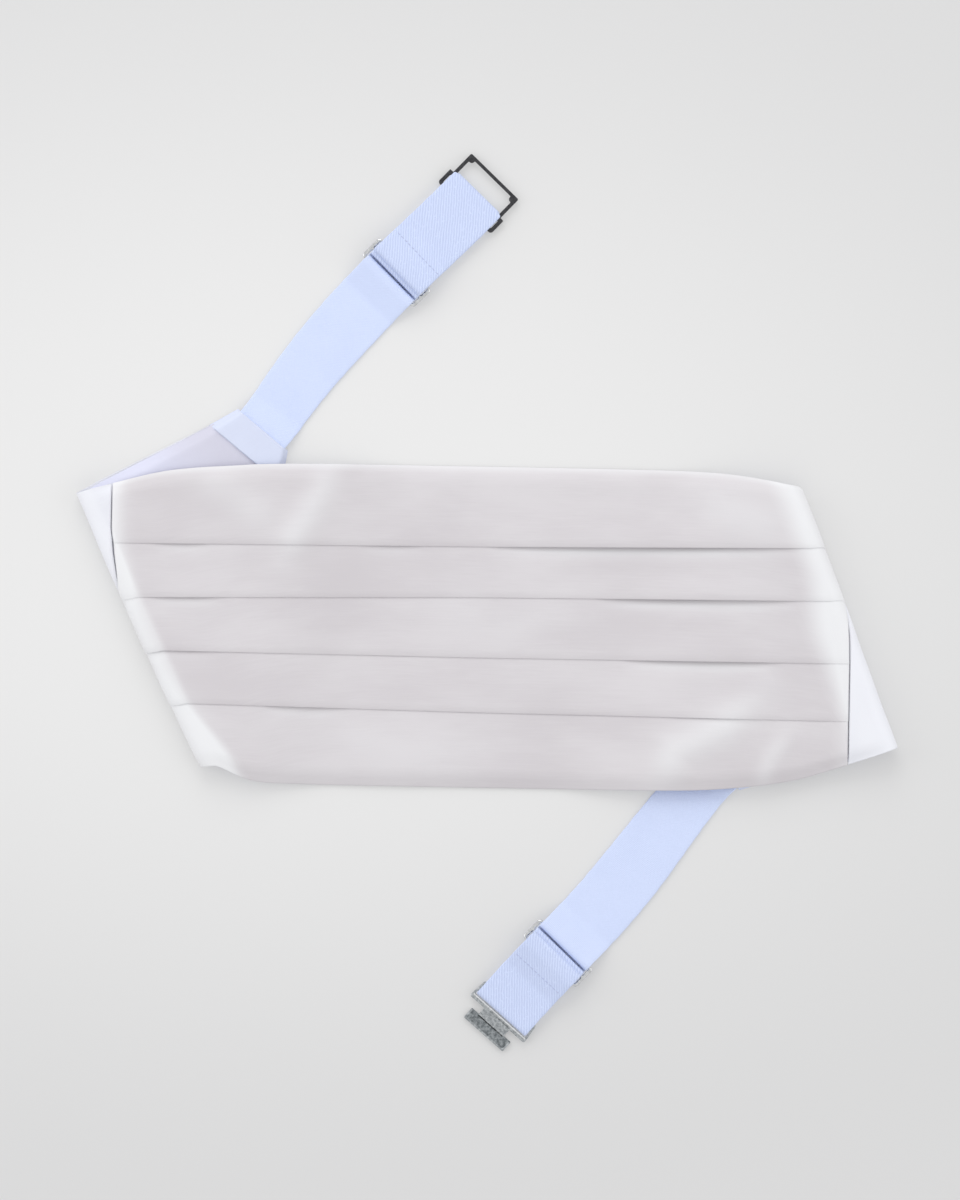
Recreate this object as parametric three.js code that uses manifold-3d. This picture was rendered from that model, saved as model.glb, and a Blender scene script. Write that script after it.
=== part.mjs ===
// Dress cummerbund lying face up, with both tapered ends folded under its pleated front.
// Millimetres. X runs along the waist, Y up the front and Z out of its face.
// The cloth is laid out flat first, then every point is folded and draped by one function.
import * as THREE from 'three';
import { mergeVertices } from 'three/addons/utils/BufferGeometryUtils.js';
import Module from 'manifold-3d';

const wasm = await Module();
wasm.setup();

// Cloth, laid flat
const front_length = 284.6;
const front_height = 123.4;
const tab_length = 77;
const hem_band = 12;
const gap = 0.3;
const lining_thick = 1;
const satin_thick = 1.2;
const pleat_rise = 1.4;
const lip_thick = 1;
const lip_tuck = 2.4;
const sleeve_wall = 1;
const lip_fade = 25;
const hem_turn = 3;
const drift_ease = 1.2;

// Webbing and hardware
const strap_length = 125;
const webbing_width = 25;
const webbing_root_width = 22.4;
const root_length = 60;
const webbing_thick = 1;
const metal_thick = 1;
const slide_length = 10;
const slide_bar = 1.1;
const slide_rail = 1.5;
const tail_length = 14;
const leaves_sleeve = 2;
const meets_surface = 9;
const strap_fall = 10;
const slide_corner = 1.5;
const window_corner = 0.4;
const catch_length = 7.4;
const catch_bar = 1.3;
const catch_width = 22.5;
const catch_rail = 1.45;
const catch_corner = 0.3;
const rear_window = 4;
const rear_corner = 1.2;
const corner_lump = 1.6;
const lump_corner = 1.2;
const rail_inside = webbing_width + 2 * gap;
const hook_bar = 1.9;
const hook_rail = 1.2;
const hook_plate = 4.5;
const neck_width = 12.8;
const neck_length = 3.1;
const tee_width = 20;
const tee_length = 4.8;
const tee_rim = 0.8;
const joggle = 0.4;
const frame_corner = 0.8;

// How it lies
const front_turn = -1.04;
const roll_radius = 2;
const drape_reach = 40;
const drape_margin = 8;
const pressed_rise = 0.3;

// Spacing of the points: steps down each band of pleats, shares of the height between which the
// seams run round the folds, and distances past a fold line where the cloth has a column
const pleat_steps = [2, 5, 5, 2, 2];
const [seams_from, seams_to] = [0.2, 0.6];
const column_step = 0.35;
const row_step = 0.12;
const roll_steps = 7;
const before_fold = [-4, -9, -15, -22, -30];
const front_past = [24, 15];
const past_roll = [12, 6];
const webbing_step = 9;

// Half height of the outline along each half, from the full front (1) to the strap (0)
const outline = [
  { along: 0, full: 1 },
  { along: 0.34, full: 0.994 },
  { along: 0.444, full: 0.968 },
  { along: 0.553, full: 0.89 },
  { along: 0.639, full: 0.766 },
  { along: 0.726, full: 0.622 },
  { along: 0.794, full: 0.469 },
  { along: 0.866, full: 0.3 },
  { along: 0.939, full: 0.13 },
  { along: 1, full: 0 },
];

// Height of each pleat lip as a share of the front's half height
const pleats = [
  { left: 0.485, middle: 0.502, right: 0.533 },
  { left: 0.146, middle: 0.186, right: 0.203 },
  { left: -0.178, middle: -0.19, right: -0.186 },
  { left: -0.5, middle: -0.532, right: -0.545 },
];

// The two ends: the fold's place as a share of half the front, its lean in degrees, its inner
// radius, how far inwards it swells, and the end's sideways drift as a share of half the height
const ends = [
  { name: 'left', side: -1, fold: 0.926, lean: 25.5, radius: 0.75, swell: 0.55, drift: 0.167 },
  { name: 'right', side: 1, fold: 1.017, lean: 21.2, radius: 1.25, swell: 0.8, drift: -0.042 },
];

// Each strap: free length, place of its slide along it, room in its end frame, headings in degrees
const straps = [
  { share: 0.99, slide: 0.6419, end_window: catch_width, turns: [58, 54.5, 50, 47.5, 45, 44.5, 46.6] },
  { share: 1.019, slide: 0.7457, end_window: rail_inside, turns: [229, 233, 234, 231, 226, 228, 229.4] },
];

const colours = {
  satin: 0xe0e0e4,
  lining: 0xdedeea,
  webbing: 0xd8e2fa,
  nickel: 0x8c9496,
  gunmetal: 0x4a4a4d,
};

const half_front = front_length / 2;
const half_end = half_front + tab_length;
const front_half = front_height / 2;
const end_half = webbing_root_width / 2 + gap + sleeve_wall;
const satin_low = lining_thick + gap;
const stack = satin_low + satin_thick;
const hem_rise = gap + lining_thick;
const inside_gap = hem_rise + gap;
const folded_depth = stack + pressed_rise;

const radians = THREE.MathUtils.degToRad;
const mix = THREE.MathUtils.lerp;
const smooth = (share) => THREE.MathUtils.smoothstep(share, 0, 1);

// Smooth curve through the rows of a table
function along_table(rows, key, value, at) {
  const last = rows.length - 1;
  let row = 0;
  while (row < last - 1 && rows[row + 1][key] < at) row += 1;
  const slope = (index) => {
    const before = rows[Math.max(index - 1, 0)];
    const after = rows[Math.min(index + 1, last)];
    return (after[value] - before[value]) / (after[key] - before[key]);
  };
  const [from, to] = [rows[row], rows[row + 1]];
  const span = to[key] - from[key];
  const u = THREE.MathUtils.clamp((at - from[key]) / span, 0, 1);
  const rise = to[value] - from[value];
  const start = slope(row) * span - rise;
  const stop = rise - slope(row + 1) * span;
  return mix(from[value], to[value], u) + u * (1 - u) * ((1 - u) * start + u * stop);
}

// The flat outline
function half_height(s) {
  const full = along_table(outline, 'along', 'full', Math.abs(s) / half_end);
  return mix(end_half, front_half, full);
}

function centre(s) {
  const end = s < 0 ? ends[0] : ends[1];
  const share = (Math.abs(s) - front_length / 3) / (half_end - front_length / 3);
  return end.drift * front_half * Math.max(share, 0) ** drift_ease;
}

const top_edge = (s) => centre(s) + half_height(s);
const bottom_edge = (s) => centre(s) - half_height(s);

function lip_line(pleat, s) {
  const outer = s < 0 ? pleat.left : pleat.right;
  return front_half * mix(pleat.middle, outer, Math.min(Math.abs(s) / half_front, 1));
}

// Fold lines
for (const end of ends) {
  end.cos = Math.cos(radians(end.lean));
  end.sin = Math.sin(radians(end.lean));
  end.roll = end.radius * roll_radius;
  end.start = end.fold * half_front - (end.roll + folded_depth) / end.cos;
  end.turn = Math.PI * (end.roll + satin_low);
}

function past_fold(end, s, t) {
  return end.side * ((s - end.side * end.start) * end.cos + t * end.sin);
}

function fold_line(end, past, t) {
  return end.start + past / end.cos - end.side * t * Math.tan(radians(end.lean));
}

// Folds a flat point under: h is its height over the lining's face, and pleats are pressed there
function fold_under(end, s, t, h) {
  const past = past_fold(end, s, t);
  const angle = Math.min(past / (end.turn / Math.PI), Math.PI);
  const beyond = Math.max(past - end.turn, 0);
  const pressed = mix(1, pressed_rise / pleat_rise, smooth(past / end.turn));
  const radius = end.roll + Math.min(h, stack) + Math.max(h - stack, 0) * pressed;
  const out = radius * Math.sin(angle) - beyond - past;
  const z = end.roll + folded_depth + radius * Math.cos(angle);
  return new THREE.Vector3(s + end.side * end.cos * out, t + end.side * end.sin * out, z);
}

// Inner edge of what is folded under: from the fold's corner to the strap's inner corner
for (const end of ends) {
  const edge = end.side < 0 ? bottom_edge : top_edge;
  let s = end.side * end.start;
  for (let step = 0; step < 8; step += 1) s = end.side * fold_line(end, 0, edge(s));
  const tip = fold_under(end, end.side * half_end, edge(end.side * half_end), 0);
  end.corner = new THREE.Vector2(s, edge(s));
  end.inner = new THREE.Vector2(tip.x - s, tip.y - edge(s)).normalize();
}

// Height of the lining's face over the surface that it lies on
function lift(s, t) {
  let height = 0;
  for (const end of ends) {
    const beside = new THREE.Vector2(s, t).sub(end.corner).cross(end.inner);
    const covered = smooth(1 - Math.max(beside - drape_margin, 0) / drape_reach);
    const bulge = smooth(1 + Math.min(past_fold(end, s, t), 0) / (end.swell * drape_reach));
    height += (folded_depth + inside_gap) * covered + (2 * end.roll - inside_gap) * bulge * covered;
  }
  return height;
}

function drape(s, t, h) {
  const end = ends.find((candidate) => past_fold(candidate, s, t) > 0);
  return end ? fold_under(end, s, t, h) : new THREE.Vector3(s, t, lift(s, t) + h);
}

// Closed solids
function closed_mesh(vertices, triangles) {
  const shape = new THREE.BufferGeometry();
  shape.setAttribute('position', new THREE.Float32BufferAttribute(vertices, 3));
  shape.setIndex(triangles);
  return shape;
}

// Joins an upper and a lower grid of points into one closed solid. Both have the same columns.
function closed_grid(upper, lower) {
  const columns = upper[0].length;
  const points = [...upper.flat(), ...lower.flat()];
  const top = (row, column) => row * columns + column;
  const bottom = (row, column) => (upper.length + row) * columns + column;
  const [last_top, last_bottom, last_column] = [upper.length - 1, lower.length - 1, columns - 1];
  const triangles = [];
  const quad = (p, q, r, s) => triangles.push(p, q, r, p, r, s);
  for (let j = 0; j < last_column; j += 1) {
    for (let i = 0; i < last_top; i += 1) quad(top(i, j), top(i + 1, j), top(i + 1, j + 1), top(i, j + 1));
    for (let i = 0; i < last_bottom; i += 1) {
      quad(bottom(i, j), bottom(i, j + 1), bottom(i + 1, j + 1), bottom(i + 1, j));
    }
    quad(top(0, j), top(0, j + 1), bottom(0, j + 1), bottom(0, j));
    quad(top(last_top, j), bottom(last_bottom, j), bottom(last_bottom, j + 1), top(last_top, j + 1));
  }
  for (const column of [0, last_column]) {
    const turned = column === 0;
    const wall = (p, q, r) => triangles.push(...(turned ? [p, q, r] : [p, r, q]));
    let [i, j] = [0, 0];
    while (i < last_top || j < last_bottom) {
      const [from, to] = [top(i, column), bottom(j, column)];
      const down = i < last_top ? points[to].distanceTo(points[top(i + 1, column)]) : Infinity;
      const across = j < last_bottom ? points[from].distanceTo(points[bottom(j + 1, column)]) : Infinity;
      if (down <= across) {
        wall(from, to, top(i + 1, column));
        i += 1;
      } else {
        wall(from, to, bottom(j + 1, column));
        j += 1;
      }
    }
  }
  return outward(closed_mesh(points.flatMap((point) => point.toArray()), triangles));
}

function outward(shape) {
  const position = shape.getAttribute('position');
  const index = shape.getIndex().array;
  const corner = (k) => new THREE.Vector3().fromBufferAttribute(position, index[k]);
  let volume = 0;
  for (let k = 0; k < index.length; k += 3) volume += corner(k).dot(corner(k + 1).cross(corner(k + 2)));
  if (volume < 0) index.reverse();
  return shape;
}

function to_solid(shape) {
  const bare = shape.clone();
  bare.deleteAttribute('normal');
  bare.deleteAttribute('uv');
  const merged = mergeVertices(bare, 1e-4);
  return new wasm.Manifold(new wasm.Mesh({
    numProp: 3,
    vertProperties: new Float32Array(merged.getAttribute('position').array),
    triVerts: new Uint32Array(merged.getIndex().array),
  }));
}

function from_solid(solid) {
  const mesh = solid.getMesh();
  return closed_mesh([...mesh.vertProperties], [...mesh.triVerts]);
}

const join = (...shapes) => from_solid(shapes.map(to_solid).reduce((whole, next) => whole.add(next)));
const cut = (shape, tool) => from_solid(to_solid(shape).subtract(to_solid(tool)));

// A sheet of cloth between columns (s for each t) and rows (t and h for each s)
function sheet(columns, upper_rows, lower_rows) {
  const grid = (rows) => rows.map((row) => columns.map((column) => {
    let s = column(0);
    for (let step = 0; step < 10; step += 1) s = column(row.t(s));
    return drape(s, row.t(s), row.h);
  }));
  return closed_grid(grid(upper_rows), grid(lower_rows));
}

const even = (count) => Array.from({ length: count + 1 }, (_, index) => index / count);

const row_between = (share, h) => ({ h, t: (s) => mix(top_edge(s), bottom_edge(s), share) });

// Rows down a plain sheet, closer together where the seams run round the folds
function plain_rows(h) {
  const stretch = (from, to, count) => even(count).slice(1).map((share) => mix(from, to, share));
  const above = stretch(0, seams_from, 3);
  const shares = [0, ...above, ...stretch(seams_from, seams_to, 9), ...stretch(seams_to, 1, 3)];
  return shares.map((share) => row_between(share, h));
}

// Distances past a fold line, from the outermost inwards
function past_columns(end, outermost) {
  const roll = even(roll_steps).map((share) => end.turn * share).reverse();
  return [...outermost, ...roll, ...before_fold];
}

function between(first, last, count) {
  return even(count).slice(1, -1).map((share) => (t) => mix(first(t), last(t), share));
}

// Columns across the waist: what each end makes, and the same plain stretch between them
function across_waist(make_end) {
  const left = make_end(ends[0]);
  const right = make_end(ends[1]).reverse();
  return [...left, ...between(left.at(-1), right[0], 10), ...right];
}

// Columns from the seam inwards: they never cross the seam, and never meet
function front_columns(end) {
  const seam = half_front - gap / 2;
  const lines = past_columns(end, front_past).map((past, index) => (t) =>
    end.side * Math.min(seam - (index + 1) * column_step, fold_line(end, past, t)));
  return [() => end.side * seam, ...lines];
}

// The face of the front: each band rises to its lip, which lies over the head of the next band.
// At the seams the lips are sewn flat, so each row keeps a small step below the one before it.
function pleat_rows() {
  const borders = [top_edge, ...pleats.map((pleat) => (s) => lip_line(pleat, s)), bottom_edge];
  const low = stack;
  const high = low + pleat_rise;
  const rows = [];
  pleat_steps.forEach((steps, band) => {
    const [above, below] = [borders[band], borders[band + 1]];
    const [first, final] = [band === 0, band === pleat_steps.length - 1];
    const tucked = (s) => lip_tuck * smooth((half_front - Math.abs(s)) / lip_fade);
    const head = first ? 0 : 3 * row_step;
    const rise = (share) => mix(low, high, (smooth(share) + share) / 2);
    if (!first) rows.push({ t: (s) => above(s) + tucked(s) - 2 * row_step, h: low });
    for (const share of even(steps).slice(0, -1)) {
      rows.push({ t: (s) => mix(above(s) - head, below(s) + lip_thick, share), h: rise(share) });
    }
    const turn = final ? hem_turn : lip_thick;
    rows.push({ t: (s) => below(s) + turn, h: high }, { t: below, h: high - lip_thick / 2 });
    if (!final) rows.push({ t: (s) => below(s) + tucked(s) - row_step, h: high - lip_thick });
  });
  return rows;
}

function pleated_front() {
  return sheet(across_waist(front_columns), pleat_rows(), plain_rows(satin_low));
}

function tab(end) {
  const past = past_columns(end, [end.turn + past_roll[1]]).reverse().slice(3);
  const seam = half_front + gap / 2;
  const lines = past.map((distance, index) => (t) =>
    end.side * Math.max(seam + (index + 1) * column_step, fold_line(end, distance, t)));
  const tip = () => end.side * half_end;
  const columns = [() => end.side * seam, ...lines, ...between(lines.at(-1), tip, 4), tip];
  const cloth = sheet(columns, plain_rows(stack), plain_rows(satin_low));

  const hem = (from, to) => [() => end.side * (half_end - from), () => end.side * (half_end + to)];
  const hem_rows = (h) => even(1).map((share) => row_between(share, h));
  const band = sheet(hem(hem_band, 0), hem_rows(stack - satin_thick / 2), hem_rows(-hem_rise));
  const middle = centre(end.side * half_end);
  const side_row = (side, h) => ({ h, t: () => middle + side * (webbing_root_width / 2 + gap) });
  const sleeve_rows = (h) => [side_row(1, h), side_row(-1, h)];
  const sleeve_past = hem(hem_band + sleeve_wall, sleeve_wall);
  const sleeve = sheet(sleeve_past, sleeve_rows(satin_low), sleeve_rows(-gap));
  return cut(join(cloth, band), sleeve);
}

function lining_columns(end) {
  const outermost = past_roll.map((past) => end.turn + past);
  const lines = past_columns(end, outermost).map((past) => (t) => end.side * fold_line(end, past, t));
  const tip = () => end.side * (half_end - hem_band - gap);
  return [tip, ...between(tip, lines[0], 4), ...lines];
}

function lining() {
  return sheet(across_waist(lining_columns), plain_rows(lining_thick), plain_rows(0));
}

// Levels of the webbing and metal that lie on each other, at mid thickness
const pitch = webbing_thick + gap;
const run_level = webbing_thick / 2;
const tail_level = run_level + pitch;
const bar_low = tail_level + webbing_thick / 2 + gap;
const over_level = bar_low + metal_thick + gap + webbing_thick / 2;
const end_metal_low = webbing_thick + gap;
const end_top_level = end_metal_low + metal_thick + gap + webbing_thick / 2;
const sleeve_level = folded_depth - webbing_thick / 2;

// Plan of a strap: its place and heading at a distance from the tab
function strap_plan(strap, end) {
  const start = fold_under(end, end.side * half_end, centre(end.side * half_end), 0);
  const steps = 48;
  const step = strap.length / steps;
  const leaving = 2 * end.lean + (end.side > 0 ? 180 : 0);
  const heading = (distance) => {
    const share = THREE.MathUtils.clamp(distance / strap.length, 0, 1) * (strap.turns.length - 1);
    const low = Math.min(Math.floor(share), strap.turns.length - 2);
    const turned = mix(strap.turns[low], strap.turns[low + 1], share - low);
    return radians(mix(leaving, turned, smooth(distance / hem_band)));
  };
  const stations = [new THREE.Vector2(start.x, start.y)];
  for (let index = 0; index < steps; index += 1) {
    const angle = heading((index + 0.5) * step);
    const moved = new THREE.Vector2(step, 0).rotateAround(new THREE.Vector2(), angle);
    stations.push(stations[index].clone().add(moved));
  }
  return (distance) => {
    const index = THREE.MathUtils.clamp(Math.floor(distance / step), 0, steps - 1);
    const angle = heading(distance < 0 ? 0 : (index + 0.5) * step);
    const along = distance - index * step;
    const base = stations[index];
    return {
      x: base.x + along * Math.cos(angle),
      y: base.y + along * Math.sin(angle),
      angle: heading(distance),
    };
  };
}

// Route of the webbing in side view: out of the tab, through the slide, round the end bar,
// back on top and round the slide's middle bar, with its tail stitched between the layers
function webbing_route(strap) {
  const slide = strap.slide_at;
  const side_bar = slide_length / 2 - slide_bar;
  const channel = side_bar - gap - webbing_thick / 2;
  const fold = slide_bar / 2 + gap + webbing_thick / 2;
  const outside = slide_length / 2 + webbing_thick / 2;
  const far = strap.length - webbing_thick / 2;
  const tail_end = slide - fold + tail_length;
  const tail_fall = (tail_end - slide - outside) / strap_fall;
  const drop = over_level - run_level;
  return [
    { x: sleeve_wall - hem_band, z: sleeve_level },
    { x: leaves_sleeve, z: sleeve_level },
    { x: meets_surface, z: run_level },
    { x: slide - outside - strap_fall, z: run_level },
    { x: slide - outside, z: over_level },
    { x: slide - channel, z: over_level },
    { x: slide - channel, z: run_level },
    { x: slide + channel, z: run_level },
    { x: slide + channel, z: over_level },
    { x: slide + outside, z: over_level },
    { x: slide + outside + strap_fall, z: run_level },
    { x: far, z: run_level },
    { x: far, z: end_top_level },
    { x: slide + outside + strap_fall, z: end_top_level },
    { x: slide + outside, z: over_level + 2 * pitch },
    { x: slide + channel - 2 * pitch, z: over_level + 2 * pitch },
    { x: slide + channel - 2 * pitch, z: over_level },
    { x: slide - fold, z: over_level },
    { x: slide - fold, z: tail_level },
    { x: slide + channel - pitch, z: tail_level },
    { x: slide + channel - pitch, z: over_level + pitch },
    { x: slide + outside, z: over_level + pitch },
    { x: tail_end, z: over_level + pitch - drop * tail_fall },
  ];
}

// Rounds the corners of a route and adds points along its long stretches
function eased(route, radius, longest) {
  const points = route.map(({ x, z }) => new THREE.Vector2(x, z));
  const out = [points[0]];
  for (let index = 1; index < points.length - 1; index += 1) {
    const [before, corner, after] = [points[index - 1], points[index], points[index + 1]];
    const reach = Math.min(radius, before.distanceTo(corner) / 2, corner.distanceTo(after) / 2);
    const from = corner.clone().add(before.clone().sub(corner).setLength(reach));
    const to = corner.clone().add(after.clone().sub(corner).setLength(reach));
    const middle = corner.clone().multiplyScalar(0.5).addScaledVector(from, 0.25).addScaledVector(to, 0.25);
    out.push(from, middle, to);
  }
  out.push(points.at(-1));
  return out.flatMap((point, index) => {
    if (index === 0) return [point];
    const count = Math.ceil(point.distanceTo(out[index - 1]) / longest);
    return even(count).slice(1).map((share) => out[index - 1].clone().lerp(point, share));
  });
}

function webbing(strap, plan) {
  const route = eased(webbing_route(strap), webbing_thick * 0.75, webbing_step)
    .filter((point, index, all) => index === 0 || point.distanceTo(all[index - 1]) > 1e-3);
  const faces = [1, -1].map((face) => route.map((point, index) => {
    const last = route.length - 1;
    const from = Math.max(index - 1, 0);
    const to = Math.min(index, last - 1);
    const arriving = route[from + 1].clone().sub(route[from]).normalize();
    const leaving = route[to + 1].clone().sub(route[to]).normalize();
    const along = arriving.clone().add(leaving).normalize();
    const widen = 1 / Math.max(along.dot(leaving), 0.5);
    const offset = face * webbing_thick / 2 * widen;
    const [x, z] = [point.x - along.y * offset, point.y + along.x * offset];
    return [1, -1].map((side) => {
      const { x: px, y: py, angle } = plan(x);
      const wraps = point.x > strap.length - webbing_thick;
      const full = mix(webbing_root_width, webbing_width, smooth(point.x / root_length));
      const width = wraps ? Math.min(full, strap.end_window - 2 * gap) : full;
      const across = side * width / 2;
      return new THREE.Vector3(px - Math.sin(angle) * across, py + Math.cos(angle) * across, z);
    });
  }));
  return closed_grid(faces[0], faces[1]);
}

// Hardware, drawn with X along the strap and Y across it
function rectangle(path, from_x, to_x, width, radius) {
  const half = width / 2;
  path.moveTo(from_x + radius, -half);
  path.lineTo(to_x - radius, -half);
  path.absarc(to_x - radius, -half + radius, radius, -Math.PI / 2, 0);
  path.lineTo(to_x, half - radius);
  path.absarc(to_x - radius, half - radius, radius, 0, Math.PI / 2);
  path.lineTo(from_x + radius, half);
  path.absarc(from_x + radius, half - radius, radius, Math.PI / 2, Math.PI);
  path.lineTo(from_x, -half + radius);
  path.absarc(from_x + radius, -half + radius, radius, Math.PI, 1.5 * Math.PI);
  return path;
}

function plate(from_x, to_x, width, radius, windows = []) {
  const shape = rectangle(new THREE.Shape(), from_x, to_x, width, radius);
  shape.holes = windows.map((hole) => rectangle(new THREE.Path(), hole.from, hole.to, hole.width, hole.radius));
  return new THREE.ExtrudeGeometry(shape, { depth: metal_thick, bevelEnabled: false, curveSegments: 2 });
}

function slide_frame() {
  const half = slide_length / 2;
  const window = (from, to) => ({ from, to, width: rail_inside, radius: window_corner });
  return plate(-half, half, rail_inside + 2 * slide_rail, slide_corner, [
    window(slide_bar - half, -slide_bar / 2),
    window(slide_bar / 2, half - slide_bar),
  ]);
}

// Catch frame: X is 0 at the webbing's folded end
function catch_frame() {
  const inner = -webbing_thick - gap;
  const bar = slide_rail;
  const rear = inner - 2 * bar - rear_window;
  const wide = plate(rear, inner, rail_inside + 2 * slide_rail, rear_corner, [
    { from: rear + bar, to: inner - bar, width: rail_inside, radius: window_corner },
  ]);
  const far = catch_length + catch_bar;
  const narrow = plate(inner - bar, far, catch_width + 2 * catch_rail, frame_corner, [
    { from: inner, to: catch_length, width: catch_width, radius: catch_corner },
  ]);
  const lump_width = corner_lump + catch_rail;
  const lumps = [1, -1].map((side) => {
    const lump = plate(catch_length - corner_lump, far, lump_width, lump_corner);
    return lump.translate(0, side * (catch_width + 2 * catch_rail - lump_width) / 2, 0);
  });
  return join(wide, narrow, ...lumps);
}

// Tongue hook: X is 0 at the webbing's folded end
function tongue_hook() {
  const front = hook_bar + gap;
  const inner = -webbing_thick - gap;
  const frame = plate(inner - hook_plate, front, rail_inside + 2 * hook_rail, frame_corner, [
    { from: inner, to: gap, width: rail_inside, radius: window_corner },
  ]);
  const step_down = end_metal_low;
  const side_view = (points, width) => {
    const shape = new THREE.Shape(points.map(([x, z]) => new THREE.Vector2(x, z)));
    const solid = new THREE.ExtrudeGeometry(shape, { depth: width, bevelEnabled: false });
    return solid.rotateX(Math.PI / 2).translate(0, width / 2, 0);
  };
  const neck_end = front + neck_length;
  const neck = side_view([
    [front - 2 * joggle, 0],
    [front + joggle, 0],
    [neck_end - joggle, -step_down],
    [neck_end + 2 * joggle, -step_down],
    [neck_end + 2 * joggle, metal_thick - step_down],
    [neck_end, metal_thick - step_down],
    [front + 2 * joggle, metal_thick],
    [front - 2 * joggle, metal_thick],
  ], neck_width);
  const tee_end = neck_end + tee_length;
  const tee = side_view([
    [neck_end, -step_down],
    [tee_end, -step_down],
    [tee_end, metal_thick - step_down + tee_rim / 2],
    [tee_end - tee_rim, metal_thick - step_down + tee_rim / 2],
    [tee_end - 2 * tee_rim, metal_thick - step_down],
    [neck_end, metal_thick - step_down],
  ], tee_width);
  return join(frame, neck, tee);
}

// Assembly
function finish(name, shape, colour, roughness, metalness = 0) {
  const material = new THREE.MeshStandardMaterial({ color: colour, roughness, metalness });
  const mesh = new THREE.Mesh(shape, material);
  mesh.name = name;
  return mesh;
}

function place(mesh, plan, distance, z) {
  const { x, y, angle } = plan(distance);
  mesh.position.set(x, y, z);
  mesh.rotation.z = angle;
  return mesh;
}

const laid = new THREE.Group();
laid.add(finish('pleated_front', pleated_front(), colours.satin, 0.45));
laid.add(finish('lining', lining(), colours.lining, 0.6));

ends.forEach((end, index) => {
  const strap = straps[index];
  strap.length = strap.share * strap_length;
  strap.slide_at = strap.slide * strap.length;
  const plan = strap_plan(strap, end);
  laid.add(finish(`${end.name}_tab`, tab(end), colours.satin, 0.45));
  laid.add(finish(`${end.name}_strap`, webbing(strap, plan), colours.webbing, 0.7));
  const slide = finish(`${end.name}_slide`, slide_frame(), colours.nickel, 0.3, 1);
  laid.add(place(slide, plan, strap.slide_at, bar_low));
  const hardware = end.side < 0
    ? finish('catch_loop', catch_frame(), colours.gunmetal, 0.35, 1)
    : finish('tongue_hook', tongue_hook(), colours.nickel, 0.3, 1);
  laid.add(place(hardware, plan, strap.length, end_metal_low));
});
laid.rotation.z = radians(front_turn);

// The origin is at the middle of the whole outline, on the surface that it lies on
const cummerbund = new THREE.Group();
cummerbund.add(laid);
cummerbund.updateMatrixWorld(true);
const box = new THREE.Box3().setFromObject(laid, true);
const middle = box.getCenter(new THREE.Vector3());
laid.position.set(-middle.x, -middle.y, -box.min.z);

export default cummerbund;
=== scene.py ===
"""A dress cummerbund lying face up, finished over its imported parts.

The cloth is laid out flat first: s runs along the waist and t up the front, both in millimetres,
and h is a layer's height over the lining's face. drape() folds the two ends under and lays the
rest over them, and to_frame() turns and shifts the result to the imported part.
"""

import math
from functools import partial

import bpy
import numpy as np
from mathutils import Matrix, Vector


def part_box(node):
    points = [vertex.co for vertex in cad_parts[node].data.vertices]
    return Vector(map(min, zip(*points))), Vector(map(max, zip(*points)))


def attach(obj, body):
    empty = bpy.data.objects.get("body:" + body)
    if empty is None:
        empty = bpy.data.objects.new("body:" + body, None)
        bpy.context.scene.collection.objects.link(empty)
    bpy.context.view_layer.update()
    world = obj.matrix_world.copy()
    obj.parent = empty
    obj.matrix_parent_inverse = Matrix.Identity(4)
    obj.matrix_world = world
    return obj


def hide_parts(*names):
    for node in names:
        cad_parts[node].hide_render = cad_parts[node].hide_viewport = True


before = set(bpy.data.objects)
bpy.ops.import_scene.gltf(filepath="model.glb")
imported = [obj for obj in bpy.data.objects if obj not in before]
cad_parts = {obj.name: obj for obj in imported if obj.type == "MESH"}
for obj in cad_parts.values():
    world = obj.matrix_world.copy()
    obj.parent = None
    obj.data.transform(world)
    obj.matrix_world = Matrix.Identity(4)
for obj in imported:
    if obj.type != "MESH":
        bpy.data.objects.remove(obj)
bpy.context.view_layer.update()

MM = 0.001

# Cloth, laid flat
front_length = 284.6
front_height = 123.4
tab_length = 77
hem_band = 12
gap = 0.3
lining_thick = 1
satin_thick = 1.2
pleat_rise = 1.4
sleeve_wall = 1
drift_ease = 1.2

# Webbing and hardware
strap_length = 125
webbing_width = 25
webbing_root_width = 22.4
root_length = 60
webbing_thick = 1
metal_thick = 1
slide_length = 10
slide_bar = 1.1
slide_rail = 1.5
tail_length = 14
leaves_sleeve = 2
meets_surface = 9
strap_fall = 10
catch_length = 7.4
catch_bar = 1.3
catch_width = 22.5
catch_rail = 1.45
rear_window = 4
corner_lump = 1.6
rail_inside = webbing_width + 2 * gap
hook_bar = 1.9
hook_rail = 1.2
hook_plate = 4.5
hook_taper = 0.9
neck_width = 12.8
neck_length = 3.1
tee_width = 20
tee_length = 4.8
tee_rim = 0.8
joggle = 0.4

# How it lies
front_turn = -1.04
roll_radius = 2
drape_reach = 40
drape_margin = 8
pressed_rise = 0.3

half_front = front_length / 2
half_end = half_front + tab_length
front_half = front_height / 2
end_half = webbing_root_width / 2 + gap + sleeve_wall
satin_low = lining_thick + gap
stack = satin_low + satin_thick
hem_rise = gap + lining_thick
inside_gap = hem_rise + gap
folded_depth = stack + pressed_rise

# What shows of the cloth: its real thickness and the levels of its layers
cloth_thick = 0.25
lining_cloth_thick = 0.3
hem_level = 1.45
head_level = 2.0
under_level = 2.3
face_level = 2.58
lip_under = 2.8
lip_level = 3.04
lining_level = 0.2
tab_level = 2.35
band_level = -0.75
band_edge_level = 0.6

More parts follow.
